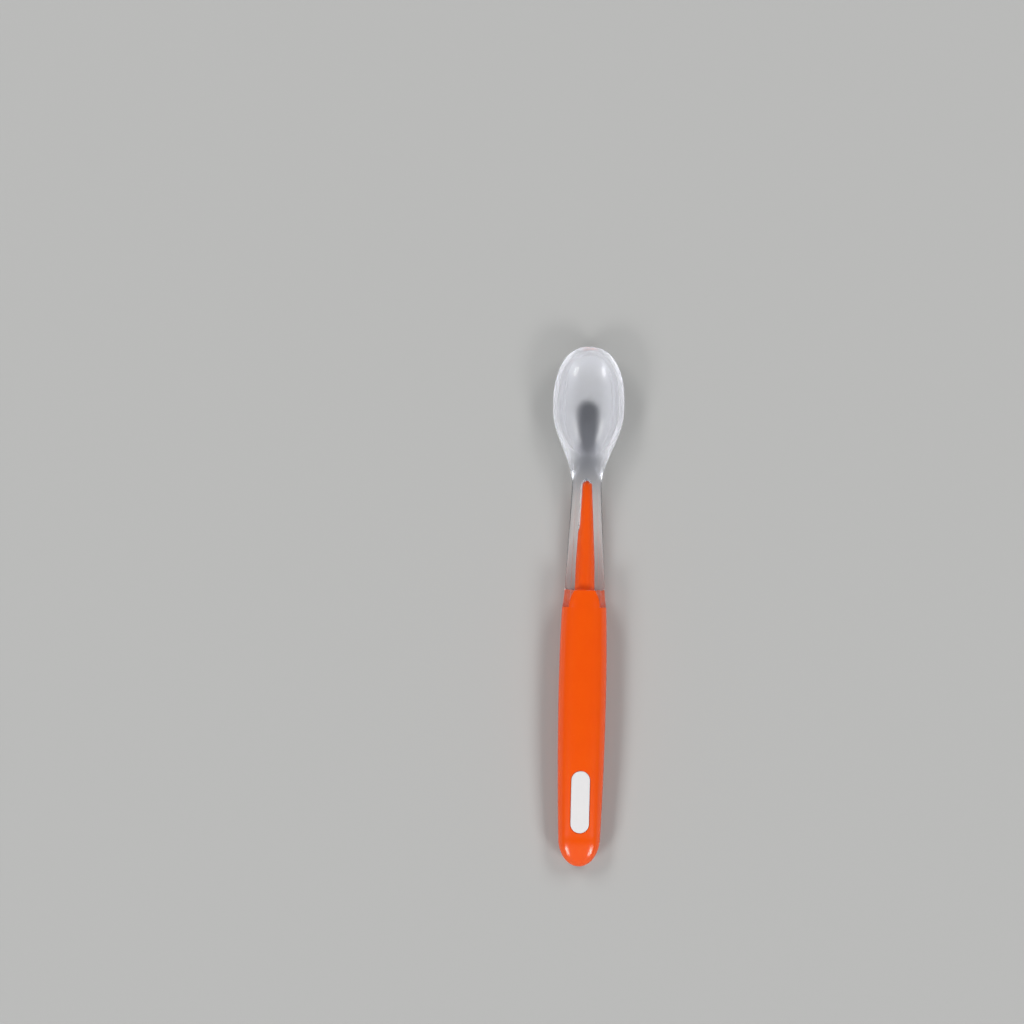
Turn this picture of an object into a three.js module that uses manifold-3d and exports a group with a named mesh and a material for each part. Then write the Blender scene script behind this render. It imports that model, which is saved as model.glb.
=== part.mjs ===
// A baby spoon with a soft silicone tip. An orange moulded handle ends in a short tongue and a slender tang.
// The tang plugs into a clear silicone moulding, neck and bowl in one, whose two ears close round the tongue.
// A plain white inlay sits near the tail.
// Millimetres, +Z up. The spoon lies on its back along Y, tail at -Y, bowl at +Y and open upwards.
// The origin is under the middle of the spoon, on the surface that it lies on.

import * as THREE from "three";
import { mergeVertices } from "three/addons/utils/BufferGeometryUtils.js";
import Module from "manifold-3d";

const { clamp, lerp, degToRad } = THREE.MathUtils;
const wasm = await Module();
wasm.setup();

// Driving dimensions
const LENGTH = 150;
const TAIL_Y = -LENGTH / 2;
const BOWL_TIP_Y = LENGTH / 2;
const FIT_GAP = 0.3; // free space between neighbouring pieces

const HANDLE = {
  shoulderY: 0, // the two seats that the silicone's ears butt against
  widestY: -24,
  halfWidth: 6.85,
  narrowingToShoulder: 0.48,
  narrowingToTail: 0.83,
  thickestY: -20,
  thickness: 9.4,
  thinningToShoulder: 0.4,
  thinningToTail: 2.2,
  tailDome: 8.3, // length of the rounded tail
  edgeRoundLength: 0.6, // rounding of the edge at the shoulder
  edgeRoundDrop: 0.12,
  flatCut: 0.35, // depth of belly cut away to leave a flat back
  crownPower: 2.3, // superellipse powers of the section above and below the parting line
  bellyPower: 2.6,
};

const TONGUE = { length: 4.9, footHalfWidth: 4.45, endHalfWidth: 3 }; // shows between the silicone's ears

const TANG = {
  middleY: 13, // it tapers faster beyond here
  tipY: 36.6,
  noseLength: 1.5,
  root: { halfWidth: 2.5, halfHeight: 2.3 },
  middle: { halfWidth: 2.3, halfHeight: 2.15 },
  head: { halfWidth: 1.15, halfHeight: 1.15 },
  power: 2.2,
};

const NECK = {
  mouthY: HANDLE.shoulderY + FIT_GAP,
  narrowestY: 35,
  halfWidth: 4.35,
  halfHeight: 3.9,
  mid: 5.3, // height of the neck's middle line at its narrowest
  taperPower: 1.1,
  flare: 0.3, // the ears flare out by this much to meet the handle's skin
  flareLength: 5,
  boreEndY: 38,
};

const BOWL = {
  flareEndY: 56.8, // the neck has swelled to the bowl's full width here
  widestY: 58.5,
  halfWidth: 10.25,
  frontPower: 2.3, // superellipse power of the outline round the bowl's tip
  rimMid: 7.4, // height of the rim's outermost line
  rimCrown: 1.25,
  sectionPower: 2,
};

const HOLLOW = {
  rimWidth: 1.4,
  heelY: 43.5,
  heelPower: 2,
  edgeZ: 8,
  depth: 6.2,
  ramp: 8, // rise of the run-out towards the neck, per bowl radius
  edgeRound: 0.6,
  leastShare: 0.35, // least share of the width that the columns over the hollow take
  neckShare: 0.8, // and their share along the neck, where there is no hollow
};

const INLAY = {
  middleY: -56.1,
  length: 18.2,
  width: 5.6,
  thickness: 0.55,
  pocketDepth: 0.8,
  proud: 0.05,
};

// Profiles along the spoon

/** A parabola that peaks at peakY and has lost headLoss at headY and tailLoss at tailY. */
function crest(y, peakY, peak, headY, headLoss, tailY, tailLoss) {
  const toHead = y > peakY;
  const share = (y - peakY) / ((toHead ? headY : tailY) - peakY);
  return peak - (toHead ? headLoss : tailLoss) * share * share;
}

/** Half a cosine wave, from 0 at start to 1 at end. */
function swell(y, start, end) {
  const share = clamp((y - start) / (end - start), 0, 1);
  return 0.5 - 0.5 * Math.cos(Math.PI * share);
}

/** The smaller of two heights, with the corner between them rounded. */
function softMin(a, b, round) {
  const overlap = Math.max(round - Math.abs(a - b), 0) / round;
  return Math.min(a, b) - (overlap * overlap * round) / 4;
}

const tailDomeY = TAIL_Y + HANDLE.tailDome;

/** The handle's section at y, between its tail and its shoulder. */
function handleSection(y) {
  const h = HANDLE;
  const dome = Math.sqrt(1 - Math.min(0, (y - tailDomeY) / h.tailDome) ** 2);
  const edge = clamp((y - h.shoulderY) / h.edgeRoundLength + 1, 0, 1);
  const drop = h.edgeRoundDrop * (1 - Math.sqrt(1 - edge * edge));
  const bodyY = Math.max(y, tailDomeY);
  const halfWidth = crest(
    bodyY, h.widestY, h.halfWidth, h.shoulderY, h.narrowingToShoulder, tailDomeY, h.narrowingToTail,
  );
  const top = crest(
    bodyY, h.thickestY, h.thickness, h.shoulderY, h.thinningToShoulder, tailDomeY, h.thinningToTail,
  );
  const mid = top / 2;
  return {
    y,
    mid,
    halfWidth: halfWidth * dome - drop,
    up: mid * dome - drop,
    low: (mid + h.flatCut) * dome - drop,
    upPower: h.crownPower,
    lowPower: h.bellyPower,
  };
}

const shoulder = handleSection(HANDLE.shoulderY);

/** How far y is down the neck: 0 where it is narrowest, 1 at the shoulder. */
function downNeck(y) {
  const share = clamp((NECK.narrowestY - y) / (NECK.narrowestY - HANDLE.shoulderY), 0, 1);
  return Math.pow(share, NECK.taperPower);
}

/** The silicone's outer section at y, from the shoulder to the tip of the bowl. */
function tipSection(y) {
  const down = downNeck(y);
  const bowl = swell(y, NECK.narrowestY, BOWL.flareEndY);
  const front = Math.max(0, (y - BOWL.widestY) / (BOWL_TIP_Y - BOWL.widestY));
  const closing = Math.pow(1 - Math.pow(front, BOWL.frontPower), 1 / BOWL.frontPower);
  const flare = NECK.flare * (1 - Math.max(0, 1 - y / NECK.flareLength) ** 2) * down;
  const blend = (atShoulder, atNeck, atBowl) => lerp(lerp(atNeck, atShoulder, down), atBowl, bowl);
  return {
    y,
    front,
    mid: blend(shoulder.mid, NECK.mid, BOWL.rimMid),
    halfWidth: (blend(shoulder.halfWidth, NECK.halfWidth, BOWL.halfWidth) - flare) * closing,
    up: blend(shoulder.up, NECK.halfHeight, BOWL.rimCrown) - flare,
    low: blend(shoulder.low, NECK.halfHeight, BOWL.rimMid) - flare,
    upPower: blend(shoulder.upPower, BOWL.sectionPower, BOWL.sectionPower),
    lowPower: blend(shoulder.lowPower, BOWL.sectionPower, BOWL.sectionPower),
  };
}

const hollowHalfWidth = BOWL.halfWidth - HOLLOW.rimWidth;

/** The hollow's outline on the side of y: its power, and its reach from the widest station. */
function hollowOutline(y) {
  const towardsTip = y > BOWL.widestY;
  return {
    power: towardsTip ? BOWL.frontPower : HOLLOW.heelPower,
    along: towardsTip ? BOWL_TIP_Y - HOLLOW.rimWidth - BOWL.widestY : BOWL.widestY - HOLLOW.heelY,
  };
}

/** Height of the bowl's inside at a point of its plan. */
function hollowHeight(x, y) {
  const { power, along } = hollowOutline(y);
  const reach = Math.pow(
    Math.pow(Math.abs(x) / hollowHalfWidth, power) + Math.pow(Math.abs(y - BOWL.widestY) / along, power),
    1 / power,
  );
  if (reach >= 1) return HOLLOW.edgeZ + HOLLOW.ramp * (reach - 1);
  return HOLLOW.edgeZ - HOLLOW.depth * Math.sqrt(1 - reach * reach);
}

/** The hollow's share of the bowl's half width at y, and a set share where there is little hollow. */
function hollowShare(y) {
  const { power, along } = hollowOutline(y);
  const reach = Math.min(1, Math.abs(y - BOWL.widestY) / along);
  const open = hollowHalfWidth * Math.pow(1 - Math.pow(reach, power), 1 / power);
  const least = lerp(HOLLOW.neckShare, HOLLOW.leastShare, swell(y, NECK.narrowestY, HOLLOW.heelY));
  return Math.max(least, open / tipSection(y).halfWidth);
}

/** The tang's half width and half height at y. */
function tangSize(y) {
  const { root, middle, head, middleY } = TANG;
  const headY = TANG.tipY - TANG.noseLength;
  const beyond = y > middleY;
  const [from, to] = beyond ? [middle, head] : [root, middle];
  const share = beyond ? (y - middleY) / (headY - middleY) : (y - TONGUE.length) / (middleY - TONGUE.length);
  const along = clamp(share, 0, 1);
  return {
    halfWidth: lerp(from.halfWidth, to.halfWidth, along),
    halfHeight: lerp(from.halfHeight, to.halfHeight, along),
  };
}

/** The tang's section at y, grown by gap and drawn in to a share. Its middle follows the rise of the neck. */
function tangSection(y, gap = 0, share = 1) {
  const { halfWidth, halfHeight } = tangSize(y);
  return {
    y,
    mid: tipSection(y).mid,
    halfWidth: (halfWidth + gap) * share,
    up: (halfHeight + gap) * share,
    low: (halfHeight + gap) * share,
    upPower: TANG.power,
    lowPower: TANG.power,
  };
}

// Lofts: rings of points, joined in order and closed by a point at each end

const evenly = (count, from, to) => Array.from({ length: count + 1 }, (_, i) => lerp(from, to, i / count));

/** Columns of a plain ring: cosine steps over the top and back underneath. */
function plainColumns(steps) {
  const angles = evenly(steps, 0, 2 * Math.PI).slice(0, -1);
  return angles.map((angle) => ({ across: Math.cos(angle), side: angle < Math.PI ? 1 : -1 }));
}

/** Columns of a bowl's ring at y: over each rim, then across the hollow, then underneath. */
function bowlColumns(y, { rimSteps, hollowSteps, bellySteps }) {
  const edge = hollowShare(y);
  const rim = evenly(rimSteps, 0, Math.PI / 2).slice(0, -1);
  const over = rim.map((angle) => edge + (1 - edge) * Math.cos(angle));
  const hollow = evenly(hollowSteps, 0, Math.PI).map((angle) => edge * Math.cos(angle));
  const top = [...over, ...hollow, ...over.map((across) => -across).reverse()];
  const belly = evenly(bellySteps, Math.PI, 2 * Math.PI).slice(1, -1).map(Math.cos);
  return [
    ...top.map((across) => ({ across, side: 1 })),
    ...belly.map((across) => ({ across, side: -1 })),
  ];
}

/** The points of a section, each column at its share of the half width. */
function ring(section, columns) {
  const front = Math.pow(section.front ?? 0, BOWL.frontPower);
  return columns.map(({ across, side }) => {
    const reach = Math.pow(
      Math.pow(Math.abs(across), BOWL.frontPower) * (1 - front) + front,
      1 / BOWL.frontPower,
    );
    const power = side > 0 ? section.upPower : section.lowPower;
    const rise = Math.pow(Math.max(0, 1 - Math.pow(reach, power)), 1 / power);
    const height = side > 0 ? section.up : section.low;
    return new THREE.Vector3(across * section.halfWidth, section.y, section.mid + side * height * rise);
  });
}

/** A ring that rests on the surface below it: nothing of it goes lower. */
function restingRing(section, columns) {
  const points = ring(section, columns);
  points.forEach((point) => {
    point.z = Math.max(point.z, 0);
  });
  return points;
}

/** One closed surface through the rings, from a start point to an end point. */
function loft(start, rings, end) {
  const around = rings[0].length;
  const points = [start, ...rings.flat(), end];
  const at = (row, column) => 1 + row * around + (column % around);
  const last = points.length - 1;
  const faces = [];
  for (let column = 0; column < around; column++) {
    faces.push(0, at(0, column), at(0, column + 1));
    for (let row = 0; row < rings.length - 1; row++) {
      faces.push(at(row, column), at(row + 1, column), at(row + 1, column + 1));
      faces.push(at(row, column), at(row + 1, column + 1), at(row, column + 1));
    }
    faces.push(last, at(rings.length - 1, column + 1), at(rings.length - 1, column));
  }
  const geometry = new THREE.BufferGeometry().setFromPoints(points);
  geometry.setIndex(faces);
  return geometry;
}

// Joining and cutting

function solidOf(geometry) {
  const bare = geometry.clone();
  bare.deleteAttribute("normal");
  bare.deleteAttribute("uv");
  const merged = mergeVertices(bare, 1e-4);
  return new wasm.Manifold(
    new wasm.Mesh({
      numProp: 3,
      vertProperties: new Float32Array(merged.attributes.position.array),
      triVerts: new Uint32Array(merged.index.array),
    }),
  );
}

function geometryOf(solid) {
  const { vertProperties, triVerts } = solid.getMesh();
  const geometry = new THREE.BufferGeometry();
  geometry.setAttribute("position", new THREE.BufferAttribute(vertProperties, 3));
  geometry.setIndex(new THREE.BufferAttribute(triVerts, 1));
  geometry.computeVertexNormals();
  return geometry;
}

// The handle, its tongue and its tang: one moulding

/** The handle's grip, from its domed tail to its flat shoulder. */
function gripGeometry() {
  const columns = plainColumns(44);
  const { shoulderY, edgeRoundLength } = HANDLE;
  const dome = [78, 62, 46, 30, 15].map(degToRad);
  const edge = [35, 60, 90].map(degToRad);
  const stations = [
    ...dome.map((angle) => tailDomeY - HANDLE.tailDome * Math.sin(angle)),
    ...evenly(10, tailDomeY, shoulderY - edgeRoundLength),
    ...edge.map((angle) => shoulderY - edgeRoundLength * (1 - Math.sin(angle))),
  ];
  const rings = stations.map((y) => restingRing(handleSection(y), columns));
  const tail = new THREE.Vector3(0, TAIL_Y, handleSection(TAIL_Y).mid);
  return loft(tail, rings, new THREE.Vector3(0, shoulderY, shoulder.mid));
}

/** An upright block with the tongue's outline seen from above, grown by gap. Its sides are parabolas. */
function tongueBlock(gap) {
  const rootY = HANDLE.shoulderY - TONGUE.length / 4;
  const right = evenly(7, 0, 1).map((share) => {
    const halfWidth = lerp(TONGUE.footHalfWidth, TONGUE.endHalfWidth, share * share) + gap;
    return new THREE.Vector2(halfWidth, HANDLE.shoulderY + share * (TONGUE.length + gap));
  });
  right.unshift(new THREE.Vector2(right[0].x, rootY));
  const left = right.map(({ x, y }) => new THREE.Vector2(-x, y)).reverse();
  const outline = new THREE.Shape([...right, ...left]);
  const block = new THREE.ExtrudeGeometry(outline, { depth: 2 * HANDLE.thickness, bevelEnabled: false });
  return block.translate(0, 0, -HANDLE.thickness / 2);
}

/** A stub of the neck's outer skin, rooted in the grip: what the tongue lies level with. */
function skinStub() {
  const columns = plainColumns(44);
  const foot = restingRing(tipSection(HANDLE.shoulderY), columns);
  const root = foot.map((point) => point.clone().setY(HANDLE.shoulderY - TONGUE.length / 2));
  const rings = [root, foot, ...[2, 4, 6].map((y) => restingRing(tipSection(y), columns))];
  const middle = (y) => new THREE.Vector3(0, y, shoulder.mid);
  return loft(middle(root[0].y), rings, middle(rings.at(-1)[0].y));
}

function tangGeometry() {
  const { middleY, tipY, noseLength } = TANG;
  const noseY = tipY - noseLength;
  const rootY = TONGUE.length / 2;
  const stem = [rootY, ...evenly(2, TONGUE.length, middleY), ...evenly(5, middleY, noseY).slice(1)];
  const nose = [30, 60, 80].map(degToRad);
  const sections = [
    ...stem.map((y) => tangSection(y)),
    ...nose.map((angle) => tangSection(noseY + noseLength * Math.sin(angle), 0, Math.cos(angle))),
  ];
  const rings = sections.map((section) => ring(section, plainColumns(28)));
  const start = new THREE.Vector3(0, rootY, tipSection(rootY).mid);
  return loft(start, rings, new THREE.Vector3(0, tipY, tipSection(tipY).mid));
}

// The silicone tip: bore, neck and bowl in one loft, turned out at the mouth like a sock

/** Sections of the bore, from its blind end down to the mouth. */
function boreSections() {
  const { boreEndY, mouthY } = NECK;
  const headY = TANG.tipY - TANG.noseLength;
  const dome = [75, 50, 25].map(degToRad);
  const domeY = (angle) => headY + (boreEndY - headY) * Math.sin(angle);
  const stem = [headY, TANG.middleY, TONGUE.length, mouthY];
  return [
    ...dome.map((angle) => tangSection(domeY(angle), FIT_GAP, Math.cos(angle))),
    ...stem.map((y) => tangSection(y, FIT_GAP)),
  ];
}

function tipGeometry() {
  const steps = { rimSteps: 5, hollowSteps: 18, bellySteps: 22 };
  const reach = BOWL_TIP_Y - BOWL.widestY;
  const front = [0, 12, 24, 35, 45, 53, 59, 64, 69, 75, 82].map(degToRad);
  const stations = [
    ...evenly(7, NECK.mouthY, NECK.narrowestY),
    ...evenly(6, NECK.narrowestY, HOLLOW.heelY).slice(1),
    ...evenly(8, HOLLOW.heelY, BOWL.flareEndY).slice(1),
    ...front.map((angle) => BOWL.widestY + reach * Math.sin(angle)),
  ];
  const outside = stations.map((y) => restingRing(tipSection(y), bowlColumns(y, steps)));
  outside.flat().forEach((point) => {
    if (point.z > tipSection(point.y).mid) {
      point.z = softMin(point.z, hollowHeight(point.x, point.y), HOLLOW.edgeRound);
    }
  });
  const inside = boreSections().map((section) => ring(section, bowlColumns(NECK.mouthY, steps)));
  const blindEnd = new THREE.Vector3(0, NECK.boreEndY, tipSection(NECK.boreEndY).mid);
  const bowlTip = new THREE.Vector3(0, BOWL_TIP_Y, BOWL.rimMid);
  return loft(blindEnd, [...inside, ...outside], bowlTip);
}

/** An upright block with the inlay's rounded outline, drawn in by inset. */
function inlayBlock(inset) {
  const radius = INLAY.width / 2 - inset;
  const straight = (INLAY.length - INLAY.width) / 2;
  const outline = new THREE.Shape();
  outline.absarc(0, straight, radius, 0, Math.PI);
  outline.absarc(0, -straight, radius, Math.PI, 2 * Math.PI);
  outline.closePath();
  const height = 2 * HANDLE.thickness;
  const block = new THREE.ExtrudeGeometry(outline, { depth: height, bevelEnabled: false, curveSegments: 14 });
  return block.translate(0, INLAY.middleY, HANDLE.thickness / 2);
}

// Assembly

const grip = gripGeometry();
const skinAt = (rise) => solidOf(grip.clone().translate(0, 0, rise));

const tongue = solidOf(tongueBlock(0)).intersect(solidOf(skinStub()));
const pocket = solidOf(inlayBlock(0)).subtract(skinAt(-INLAY.pocketDepth));
const handleSolid = solidOf(grip).add(tongue).add(solidOf(tangGeometry())).subtract(pocket);
const tipSolid = solidOf(tipGeometry()).subtract(solidOf(tongueBlock(FIT_GAP)));
const inlaySolid = solidOf(inlayBlock(FIT_GAP))
  .intersect(skinAt(INLAY.proud))
  .subtract(skinAt(INLAY.proud - INLAY.thickness));

const orangePlastic = new THREE.MeshStandardMaterial({ color: 0xec5408, roughness: 0.28, metalness: 0 });
const clearSilicone = new THREE.MeshStandardMaterial({
  color: 0xdde2e8, roughness: 0.3, metalness: 0, transparent: true, opacity: 0.5,
});
const whitePlastic = new THREE.MeshStandardMaterial({ color: 0xf1f0f4, roughness: 0.35, metalness: 0 });

const spoon = new THREE.Group();
const pieces = [
  ["handle", handleSolid, orangePlastic],
  ["silicone_tip", tipSolid, clearSilicone],
  ["badge_inlay", inlaySolid, whitePlastic],
];
for (const [name, solid, material] of pieces) {
  const mesh = new THREE.Mesh(geometryOf(solid), material);
  mesh.name = name;
  spoon.add(mesh);
}

export default spoon;
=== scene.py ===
from collections import namedtuple
from math import pi, radians
from types import SimpleNamespace

import bmesh
import bpy
import numpy as np
from bpy.props import FloatProperty, FloatVectorProperty, PointerProperty
from mathutils import Matrix, Vector


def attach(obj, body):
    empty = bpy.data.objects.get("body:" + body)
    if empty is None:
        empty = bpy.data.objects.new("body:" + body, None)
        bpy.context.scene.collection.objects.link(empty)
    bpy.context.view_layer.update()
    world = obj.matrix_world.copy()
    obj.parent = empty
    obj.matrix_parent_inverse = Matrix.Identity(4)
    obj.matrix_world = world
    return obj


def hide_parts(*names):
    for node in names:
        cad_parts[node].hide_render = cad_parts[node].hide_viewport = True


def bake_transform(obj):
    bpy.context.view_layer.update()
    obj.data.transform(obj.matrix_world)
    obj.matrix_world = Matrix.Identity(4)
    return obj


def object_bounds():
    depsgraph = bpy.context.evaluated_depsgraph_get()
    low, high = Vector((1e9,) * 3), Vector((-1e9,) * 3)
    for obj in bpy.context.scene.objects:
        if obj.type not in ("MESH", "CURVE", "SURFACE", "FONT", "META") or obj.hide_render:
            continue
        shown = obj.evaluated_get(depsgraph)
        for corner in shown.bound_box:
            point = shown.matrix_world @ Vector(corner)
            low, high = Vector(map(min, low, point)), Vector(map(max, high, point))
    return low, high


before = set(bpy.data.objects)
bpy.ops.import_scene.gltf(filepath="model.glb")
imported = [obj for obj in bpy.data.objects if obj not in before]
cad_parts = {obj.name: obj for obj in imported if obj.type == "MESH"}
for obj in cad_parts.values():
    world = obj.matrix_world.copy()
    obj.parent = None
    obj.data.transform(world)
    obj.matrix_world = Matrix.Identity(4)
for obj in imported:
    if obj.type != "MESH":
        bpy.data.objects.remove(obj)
CAD_BOX = [list(corner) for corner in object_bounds()]

bl_info = {
    "name": "Silicone-tipped spoon",
    "version": (1, 0, 0),
    "blender": (4, 5, 0),
    "location": "3D View > Sidebar > Spoon",
    "description": "Builds a baby spoon with an orange handle, a clear soft tip and a white inlay",
    "category": "Add Mesh",
}

# Fixed shape values, in millimetres

MM = 0.001
TINY = 1e-9  # less than any real length or share
TAIL_Y, BOWL_TIP_Y = (round(corner[1] / MM, 3) for corner in CAD_BOX)

GRIP_WIDEST_Y = -24.0
GRIP_NARROWING = (0.48, 0.83)  # towards the shoulder, towards the tail
GRIP_THICKEST_Y = -20.0
GRIP_THINNING = (0.4, 2.2)
TAIL_DOME = 8.3
DOME_Y = TAIL_Y + TAIL_DOME
FLAT_CUT = 0.35
CROWN_POWER = 2.3
BELLY_POWER = 2.6

TONGUE_FOOT = 4.45  # half widths
TONGUE_END = 3.0

TANG_Y = (4.9, 13.0, 35.1)  # root, middle, head
TANG_HALF_WIDTH = (2.5, 2.3, 1.15)
TANG_HALF_HEIGHT = (2.3, 2.15, 1.15)
TANG_POWER = 2.2
TANG_TIP_Y = 36.6
TANG_FILLET = 0.15

NECK_Y = 35.0
NECK_HALF_WIDTH = 4.35
NECK_HALF_HEIGHT = 3.9
NECK_MID = 5.3
NECK_TAPER = 1.1
EAR_FLARE = 0.3
EAR_FLARE_LENGTH = 5.0
BORE_END_Y = 37.0
CLING = 0.03  # how far the silicone is pressed on to the tang
FILM_Y = (20.0, 24.5)  # between these the silicone lets go of the tang's left side
FILM_ARC = (1.0, 0.72)  # share of the way to the left at which the film begins: at its foot, further up
FILM_BLEND = 0.35  # share past that over which it grows to its full thickness
JOIN_Y = 12.0  # past this the tip's rings run straight across

BOWL_FLARE_END_Y = 56.8
BOWL_WIDEST_Y = 58.5
FRONT_POWER = 2.3
RIM_MID = 7.4
RIM_CROWN = 1.25
HEEL_Y = 43.5
HOLLOW_EDGE_Z = 8.0
HOLLOW_RAMP = 8.0
HOLLOW_EDGE_ROUND = 0.6
HOLLOW_SHARES = (0.8, 0.35)  # least share of the width that the columns over the hollow take: neck, heel
HOLLOW_SHARE_MOST = 0.97

# Where the silicone is clear and where it is milky, in millimetres, and by what share

MILKY_Y = (28.0, 46.0)  # along these the silicone turns from clear to milky
MILKY_Z = (1.5, 7.0)  # between these heights the bloom rises to its full strength
MILKY_LEAST = 0.9  # share of that strength at the bottom
CLEAR_END_Y = 56.3  # the clear band up the middle of the heel ends in a half round about this station
CLEAR_BAND = (0.8, 4.8)  # half width at which the band starts to turn milky, and where it is all milky
SHADE_Y = (31.0, 42.0)  # along these the light that is let through falls to the bowl's share
BOWL_SHADE = 0.6
AIR_ROUGHNESS = 0.3  # added where air lies against the silicone

# Edges and the inlay, in millimetres

EDGE_ROUND = 0.1  # rounding of the edges along the seam between handle and silicone
FLAT_ROUND = 0.25  # rounding along the sides of the flat back
SEAT_EASE = 0.12  # share of a flank's height over which a seat's rounded edge comes in
RIDGE_FADE = 3.0  # the parting ridge fades where the tail is narrower than the grip divided by this
WALL_SLOPE = 0.035  # the pocket's wall leans in by this much
LIP_DROP = 0.05  # the skin's dip at the pocket's edge
LIP_WIDTH = 0.12

INLAY_Y = -56.1
INLAY_THICKNESS = 0.55
INLAY_BEVEL = 0.14

# Mesh and stage, in metres

FLOOR_REACH = 2.4
FLOOR_GAP = 0.00002
FLOOR_ROUGHNESS = 0.7
WELD_DISTANCE = 1e-7  # points closer than this are one
CAMERA_OVER = (-0.02142, 0.02695)  # the place that the middle of the picture shows
CAMERA_LEVEL = 0.005  # the height at which the picture takes in its set width
SKY_COLOUR = (0.93, 0.96, 1.0)
SKY_TOP = 0.6  # the glow ends where a direction rises by this much
SKY_FALL = 3.0  # power of its fall up to there
SKY_STRENGTH = (0.08, 0.8)  # overhead, and what the horizon adds
LIGHTS = {  # place, width, length and radiance
    "front_panel": ((0.0, -2.2, 2.0), 6.0, 3.6, 0.5),
    "key_left": ((-1.8, -1.5, 1.6), 0.75, 0.9, 15.0),
    "key_right": ((1.8, -1.5, 1.6), 0.75, 0.9, 15.0),
    "heel_box_left": ((-1.5, 1.5, 1.65), 0.66, 1.5, 9.5),
    "heel_box_right": ((1.5, 1.5, 1.65), 0.66, 1.5, 8.5),
}

# Settings


class HandleSettings(bpy.types.PropertyGroup):
    """The orange handle."""

    grip_half_width: FloatProperty(
        name="Half width", description="Half the grip's greatest width",
        default=0.00685, min=0.005, max=0.01, subtype="DISTANCE", unit="LENGTH", precision=5,
    )
    grip_thickness: FloatProperty(
        name="Thickness", description="The grip's greatest thickness",
        default=0.0094, min=0.007, max=0.013, subtype="DISTANCE", unit="LENGTH", precision=5,
    )
    tongue_length: FloatProperty(
        name="Tongue", description="How far the tongue reaches between the silicone's ears",
        default=0.0049, min=0.003, max=0.006, subtype="DISTANCE", unit="LENGTH", precision=5,
    )
    parting_ridge: FloatProperty(
        name="Parting ridge", description="Height of the fine line that the mould leaves along the sides",
        default=0.00003, min=0.0, max=0.0002, subtype="DISTANCE", unit="LENGTH", precision=6,
    )
    colour: FloatVectorProperty(
        name="Colour", description="Colour of the plastic",
        default=(0.83, 0.09, 0.0008), min=0.0, max=1.0, size=3, subtype="COLOR",
    )
    roughness: FloatProperty(
        name="Roughness", description="Roughness of the clean plastic",
        default=0.2, min=0.0, max=1.0, subtype="FACTOR",
    )


class TipSettings(bpy.types.PropertyGroup):
    """The clear silicone tip."""

    bowl_half_width: FloatProperty(
        name="Bowl half width", description="Half the bowl's greatest width",
        default=0.01025, min=0.008, max=0.013, subtype="DISTANCE", unit="LENGTH", precision=5,
    )
    rim_width: FloatProperty(
        name="Rim width", description="Width of the rim round the hollow",
        default=0.0014, min=0.0008, max=0.003, subtype="DISTANCE", unit="LENGTH", precision=5,
    )
    hollow_depth: FloatProperty(
        name="Hollow depth", description="Depth of the bowl below its inner edge",
        default=0.0062, min=0.003, max=0.007, subtype="DISTANCE", unit="LENGTH", precision=5,
    )
    seam_press: FloatProperty(
        name="Seam press", description="How far the silicone is pressed against the handle along the seam",
        default=0.00002, min=0.00001, max=0.0001, subtype="DISTANCE", unit="LENGTH", precision=6,
    )
    air_film: FloatProperty(
        name="Air film", description="Film of air beside the thin end of the tang",
        default=0.0002, min=0.00001, max=0.0003, subtype="DISTANCE", unit="LENGTH", precision=6,
    )
    colour: FloatVectorProperty(
        name="Colour", description="Tint of the silicone",
        default=(0.98, 0.985, 0.99), min=0.0, max=1.0, size=3, subtype="COLOR",
    )
    bowl_colour: FloatVectorProperty(
        name="Bowl colour", description="Tint of the silicone round the bowl",
        default=(0.86, 0.88, 0.99), min=0.0, max=1.0, size=3, subtype="COLOR",
    )
    roughness: FloatProperty(
        name="Roughness", description="Roughness of the neck's clean silicone",
        default=0.05, min=0.0, max=1.0, subtype="FACTOR",
    )
    bowl_roughness: FloatProperty(
        name="Bowl roughness", description="Roughness of the bowl's clean silicone",
        default=0.18, min=0.0, max=1.0, subtype="FACTOR",
    )
    bloom: FloatProperty(
        name="Bloom", description="Strength of the pale bloom on the bowl",
        default=1.0, min=0.0, max=1.0, subtype="FACTOR",
    )


class InlaySettings(bpy.types.PropertyGroup):
    """The white inlay near the tail."""

    inlay_length: FloatProperty(
        name="Length", description="Length of the pocket that the inlay sits in",
        default=0.0182, min=0.012, max=0.025, subtype="DISTANCE", unit="LENGTH", precision=5,
    )
    inlay_width: FloatProperty(
        name="Width", description="Width of the pocket that the inlay sits in",
        default=0.0056, min=0.004, max=0.007, subtype="DISTANCE", unit="LENGTH", precision=5,
    )
    inlay_gap: FloatProperty(
        name="Gap", description="Gap between the inlay and the pocket's wall",
        default=0.00013, min=0.00005, max=0.0004, subtype="DISTANCE", unit="LENGTH", precision=6,
    )
    inlay_proud: FloatProperty(
        name="Proud", description="How far the inlay stands above the handle's skin",
        default=0.00005, min=0.0, max=0.0004, subtype="DISTANCE", unit="LENGTH", precision=6,
    )
    pocket_depth: FloatProperty(
        name="Pocket depth", description="Depth of the pocket below the handle's skin",
        default=0.0008, min=0.0006, max=0.0015, subtype="DISTANCE", unit="LENGTH", precision=5,
    )
    colour: FloatVectorProperty(
        name="Colour", description="Colour of the inlay",
        default=(0.73, 0.715, 0.715), min=0.0, max=1.0, size=3, subtype="COLOR",
    )
    roughness: FloatProperty(
        name="Roughness", description="Roughness of the clean inlay",
        default=0.3, min=0.0, max=1.0, subtype="FACTOR",
    )


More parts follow.
